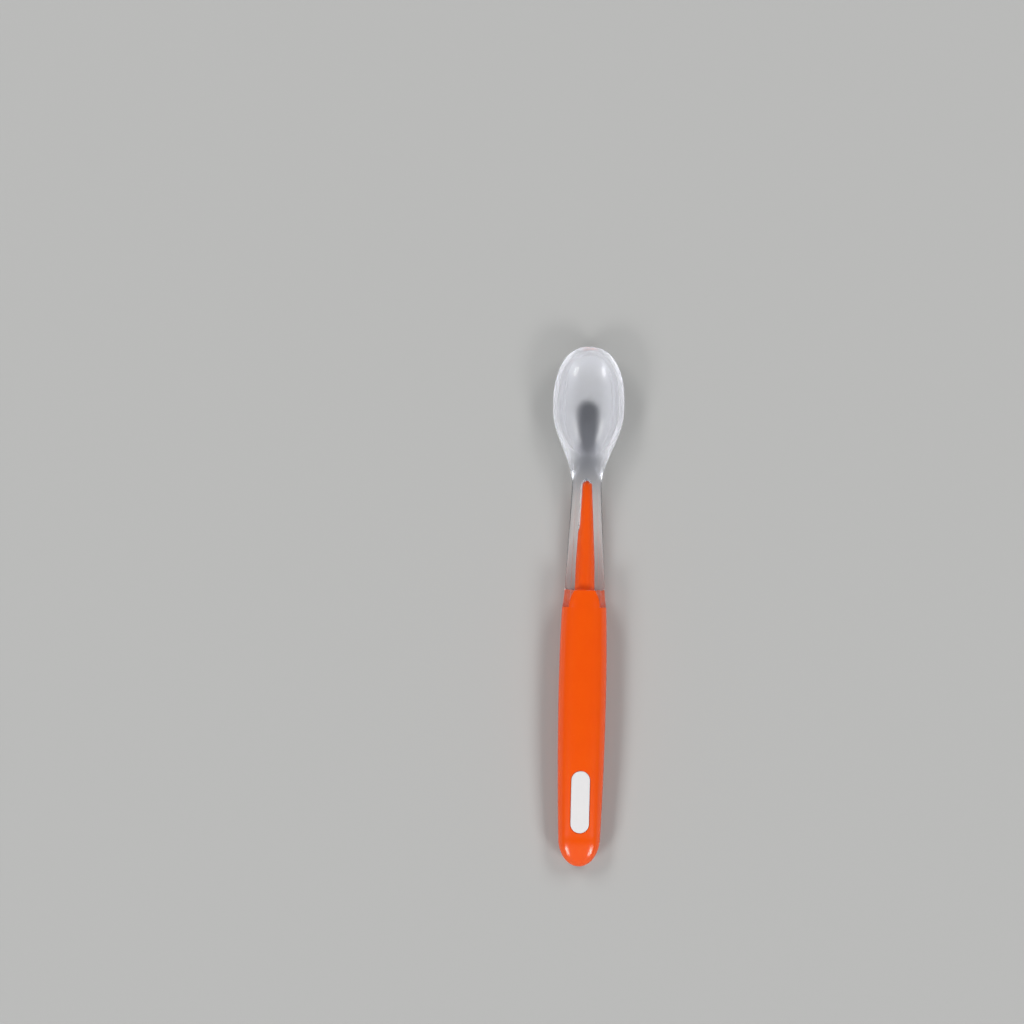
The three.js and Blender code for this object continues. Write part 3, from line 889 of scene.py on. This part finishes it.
def finish(name, looks, **constants):
    """A material with the shared effects placed in it and its shader's constant values set."""
    material = bpy.data.materials.new(name)
    material.use_nodes = True
    tree = material.node_tree
    shader = tree.nodes["Principled BSDF"].inputs
    for label, value in constants.items():
        shader[label.replace("_", " ")].default_value = value
    place = node(tree, "ShaderNodeTexCoord").outputs["Object"]
    grain = node(tree, "ShaderNodeGroup", {
        "Vector": place, "Grain Size": looks["Grain Size"], "Wave Size": looks["Wave Size"],
    }, node_tree=moulded_grain()).outputs
    marks = node(tree, "ShaderNodeGroup", {
        "Vector": place, "Scratch Size": looks["Scratch Size"], "Speck Size": looks["Speck Size"],
    }, node_tree=handling_marks()).outputs

    tint = mixed(tree, grain["Waves"], looks["light"], looks["deep"])
    clean = (looks["roughness"] * 0.85, looks["roughness"] * 1.15)
    fine = ramp(tree, grain["Grain"], (0.3, 0.7), clean)
    worn = maths(tree, "MULTIPLY_ADD", marks["Scratches"], looks["wear"], fine)
    dusty = maths(tree, "MULTIPLY_ADD", marks["Specks"], looks["dust"], worn)
    tree.links.new(tint, shader["Base Color"])
    tree.links.new(dusty, shader["Roughness"])

    wave = maths(tree, "MULTIPLY", grain["Waves"], looks["wave height"])
    skin = maths(tree, "MULTIPLY_ADD", grain["Grain"], looks["grain height"], wave)
    cut = maths(tree, "MULTIPLY_ADD", marks["Scratches"], -looks["scratch depth"], skin)
    bump = node(tree, "ShaderNodeBump", {"Height": cut, "Distance": MM, "Strength": 1.0})
    tree.links.new(bump.outputs["Normal"], shader["Normal"])
    return material


def cloud_bowl(material, tip):
    """Turn clear silicone milky round the bowl, and frost it where air lies against it.

    A clear band with a round end runs up the middle of the heel. Less light gets through past the neck.
    """
    tree = material.node_tree
    shader = tree.nodes["Principled BSDF"].inputs
    tint, rough = (shader[label].links[0].from_socket for label in ("Base Color", "Roughness"))
    place = node(tree, "ShaderNodeTexCoord").outputs["Object"]
    at = node(tree, "ShaderNodeSeparateXYZ", {"Vector": place}).outputs
    along = ramp(tree, at["Y"], metres(MILKY_Y), kind="SMOOTHSTEP")
    ahead = maths(tree, "MAXIMUM", maths(tree, "SUBTRACT", at["Y"], CLEAR_END_Y * MM), 0.0)
    offset = node(tree, "ShaderNodeCombineXYZ", {"X": at["X"], "Y": ahead}).outputs["Vector"]
    distance = node(tree, "ShaderNodeVectorMath", {0: offset}, operation="LENGTH").outputs["Value"]
    beside = ramp(tree, distance, metres(CLEAR_BAND), kind="SMOOTHSTEP")
    milky = maths(tree, "POWER", maths(tree, "MULTIPLY", along, beside), 2.0)
    bloom = ramp(tree, at["Z"], metres(MILKY_Z), (MILKY_LEAST * tip.bloom, tip.bloom))
    air = node(tree, "ShaderNodeAttribute", attribute_name="air").outputs["Fac"]
    satin = maths(tree, "MULTIPLY_ADD", along, tip.bowl_roughness - tip.roughness, rough)
    tree.links.new(maths(tree, "MULTIPLY_ADD", milky, bloom, air), shader["Coat Weight"])
    tree.links.new(maths(tree, "MULTIPLY_ADD", air, AIR_ROUGHNESS, satin), shader["Roughness"])
    tree.links.new(mixed(tree, along, tint, tip.bowl_colour), shader["Base Color"])
    shade = ramp(tree, at["Y"], metres(SHADE_Y), kind="SMOOTHSTEP")
    light_passes(material, shade, tip.colour, shaded(tip.colour, BOWL_SHADE))


def light_passes(material, mask, clear, dim):
    """Let light go straight through a clear material to what lies behind it, in place of a dark shadow.

    What gets through is dimmed from one tint to the other by a mask.
    """
    tree = material.node_tree
    path = node(tree, "ShaderNodeLightPath").outputs
    unseen = maths(tree, "MAXIMUM", path["Is Shadow Ray"], path["Is Diffuse Ray"])
    straight = node(tree, "ShaderNodeBsdfTransparent", {"Color": mixed(tree, mask, clear, dim)})
    shader = tree.nodes["Principled BSDF"]
    either = node(tree, "ShaderNodeMixShader", {
        0: unseen, 1: shader.outputs["BSDF"], 2: straight.outputs["BSDF"],
    })
    tree.links.new(either.outputs["Shader"], tree.nodes["Material Output"].inputs["Surface"])


def shaded(colour, share):
    """A colour turned down to a share of its brightness."""
    return tuple(channel * share for channel in colour)


# Stage


def make_floor(stage):
    """A plain painted square, a hair below the spoon."""
    paint = bpy.data.materials.new("floor_paint")
    paint.use_nodes = True
    shader = paint.node_tree.nodes["Principled BSDF"]
    shader.inputs["Base Color"].default_value = (*stage.floor_colour, 1.0)
    shader.inputs["Roughness"].default_value = FLOOR_ROUGHNESS
    mesh = bpy.data.meshes.new("floor")
    square = np.array([(-1, -1, 0), (1, -1, 0), (1, 1, 0), (-1, 1, 0)])
    mesh.from_pydata((square * FLOOR_REACH - (0, 0, FLOOR_GAP)).tolist(), [], [(0, 1, 2, 3)])
    mesh.materials.append(paint)
    placed("floor", mesh)


def make_lights(stage):
    """Soft boxes that face the spoon, each turned so that its length follows the spoon's."""
    for name, (place, width, length, radiance) in LIGHTS.items():
        data = bpy.data.lights.new(name, "AREA")
        data.shape = "RECTANGLE"
        data.size, data.size_y = width, length
        data.energy = radiance * pi * width * length * stage.light
        lamp = placed(name, data)
        lamp.location = place
        back = Vector(place).normalized()
        long_side = (Vector((0, 1, 0)) - back * back.y).normalized()
        lamp.rotation_euler = Matrix((long_side.cross(back), long_side, back)).transposed().to_euler()


def make_sky(scene, stage):
    """A dim sky that glows towards the horizon."""
    scene.world = bpy.data.worlds.new("studio")
    scene.world.use_nodes = True
    tree = scene.world.node_tree
    sky = tree.nodes["Background"].inputs
    sky["Color"].default_value = (*SKY_COLOUR, 1.0)
    towards = node(tree, "ShaderNodeTexCoord").outputs["Generated"]
    rise = node(tree, "ShaderNodeSeparateXYZ", {"Vector": towards}).outputs["Z"]
    glow = maths(tree, "POWER", ramp(tree, rise, (0.0, SKY_TOP), (1.0, 0.0)), SKY_FALL)
    overhead, horizon = (strength * stage.light for strength in SKY_STRENGTH)
    tree.links.new(maths(tree, "MULTIPLY_ADD", glow, horizon, overhead), sky["Strength"])


def make_camera(scene, stage):
    """A camera that looks straight down."""
    data = bpy.data.cameras.new("camera")
    data.sensor_width = 36.0
    data.lens = data.sensor_width * stage.camera_height / stage.view_width
    camera = placed("camera", data)
    camera.location = (*CAMERA_OVER, CAMERA_LEVEL + stage.camera_height)
    camera.rotation_euler = (0, 0, stage.lean)
    scene.camera = camera


# Operators


class SPOON_OT_handle(bpy.types.Operator):
    """Make the orange handle with its tongue and its tang"""

    bl_idname = "spoon.handle"
    bl_label = "Handle"

    def execute(self, context):
        spoon = context.scene.spoon
        colour = tuple(spoon.handle.colour)
        looks = {
            "Grain Size": 14000.0, "Wave Size": 120.0, "Scratch Size": 300.0, "Speck Size": 500.0,
            "light": colour, "deep": (colour[0] * 0.95, colour[1] * 0.86, colour[2]),
            "roughness": spoon.handle.roughness, "wear": 0.05, "dust": 0.12,
            "wave height": 0.02, "grain height": 0.0006, "scratch depth": 0.0003,
        }
        plastic = finish(
            "orange_plastic", looks, IOR=1.49, Subsurface_Weight=0.12, Subsurface_Radius=(1.0, 0.35, 0.1),
            Subsurface_Scale=0.0006,
        )
        piece = moulding("handle_moulding", *handle_rows(sizes(spoon)), plastic)
        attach(piece, "handle")
        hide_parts("handle")
        return {"FINISHED"}


class SPOON_OT_soft_tip(bpy.types.Operator):
    """Make the clear silicone neck and bowl, one moulding"""

    bl_idname = "spoon.soft_tip"
    bl_label = "Soft tip"

    def execute(self, context):
        spoon = context.scene.spoon
        colour = tuple(spoon.tip.colour)
        looks = {
            "Grain Size": 7000.0, "Wave Size": 210.0, "Scratch Size": 380.0, "Speck Size": 620.0,
            "light": colour, "deep": shaded(colour, 0.98),
            "roughness": spoon.tip.roughness, "wear": 0.02, "dust": 0.03,
            "wave height": 0.022, "grain height": 0.0008, "scratch depth": 0.0,
        }
        silicone = finish(
            "clear_silicone", looks, IOR=1.41, Transmission_Weight=1.0, Coat_Roughness=0.9, Coat_IOR=4.5,
            Sheen_Weight=0.04, Sheen_Roughness=0.5,
        )
        cloud_bowl(silicone, spoon.tip)
        rows, start, end, air = tip_rows(sizes(spoon))
        piece = moulding("soft_tip_moulding", rows, start, end, silicone, air=air)
        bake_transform(piece)
        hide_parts("silicone_tip")
        return {"FINISHED"}


class SPOON_OT_badge_inlay(bpy.types.Operator):
    """Make the plain white inlay near the tail"""

    bl_idname = "spoon.badge_inlay"
    bl_label = "Badge inlay"

    def execute(self, context):
        spoon = context.scene.spoon
        colour = tuple(spoon.inlay.colour)
        looks = {
            "Grain Size": 12000.0, "Wave Size": 300.0, "Scratch Size": 520.0, "Speck Size": 800.0,
            "light": colour, "deep": shaded(colour, 0.96),
            "roughness": spoon.inlay.roughness, "wear": 0.2, "dust": 0.2,
            "wave height": 0.008, "grain height": 0.0006, "scratch depth": 0.001,
        }
        plastic = finish("white_plastic", looks, IOR=1.49)
        piece = moulding("badge_inlay_plate", *inlay_rows(sizes(spoon)), plastic)
        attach(piece, "handle")
        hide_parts("badge_inlay")
        return {"FINISHED"}


class SPOON_OT_stage(bpy.types.Operator):
    """Make the floor, the lights and the camera"""

    bl_idname = "spoon.stage"
    bl_label = "Stage"

    def execute(self, context):
        scene = context.scene
        stage = scene.spoon.stage
        make_floor(stage)
        make_lights(stage)
        make_sky(scene, stage)
        make_camera(scene, stage)
        scene.view_settings.view_transform = "Standard"
        return {"FINISHED"}


class SPOON_PT_sidebar(bpy.types.Panel):
    """The spoon's pieces and settings."""

    bl_idname = "SPOON_PT_sidebar"
    bl_label = "Silicone-tipped spoon"
    bl_space_type = "VIEW_3D"
    bl_region_type = "UI"
    bl_category = "Spoon"

    def draw(self, context):
        spoon = context.scene.spoon
        parts = (
            (SPOON_OT_handle, spoon.handle),
            (SPOON_OT_soft_tip, spoon.tip),
            (SPOON_OT_badge_inlay, spoon.inlay),
            (SPOON_OT_stage, spoon.stage),
        )
        for operator, settings in parts:
            box = self.layout.box()
            box.operator(operator.bl_idname)
            for name in settings.__annotations__:
                box.prop(settings, name)


CLASSES = (
    HandleSettings, TipSettings, InlaySettings, StageSettings, SpoonSettings,
    SPOON_OT_handle, SPOON_OT_soft_tip, SPOON_OT_badge_inlay, SPOON_OT_stage, SPOON_PT_sidebar,
)


def register():
    for cls in CLASSES:
        bpy.utils.register_class(cls)
    bpy.types.Scene.spoon = PointerProperty(type=SpoonSettings)


def unregister():
    del bpy.types.Scene.spoon
    for cls in reversed(CLASSES):
        bpy.utils.unregister_class(cls)


def main():
    register()
    bpy.ops.spoon.handle()
    bpy.ops.spoon.soft_tip()
    bpy.ops.spoon.badge_inlay()
    bpy.ops.spoon.stage()


if __name__ == "__main__":
    main()
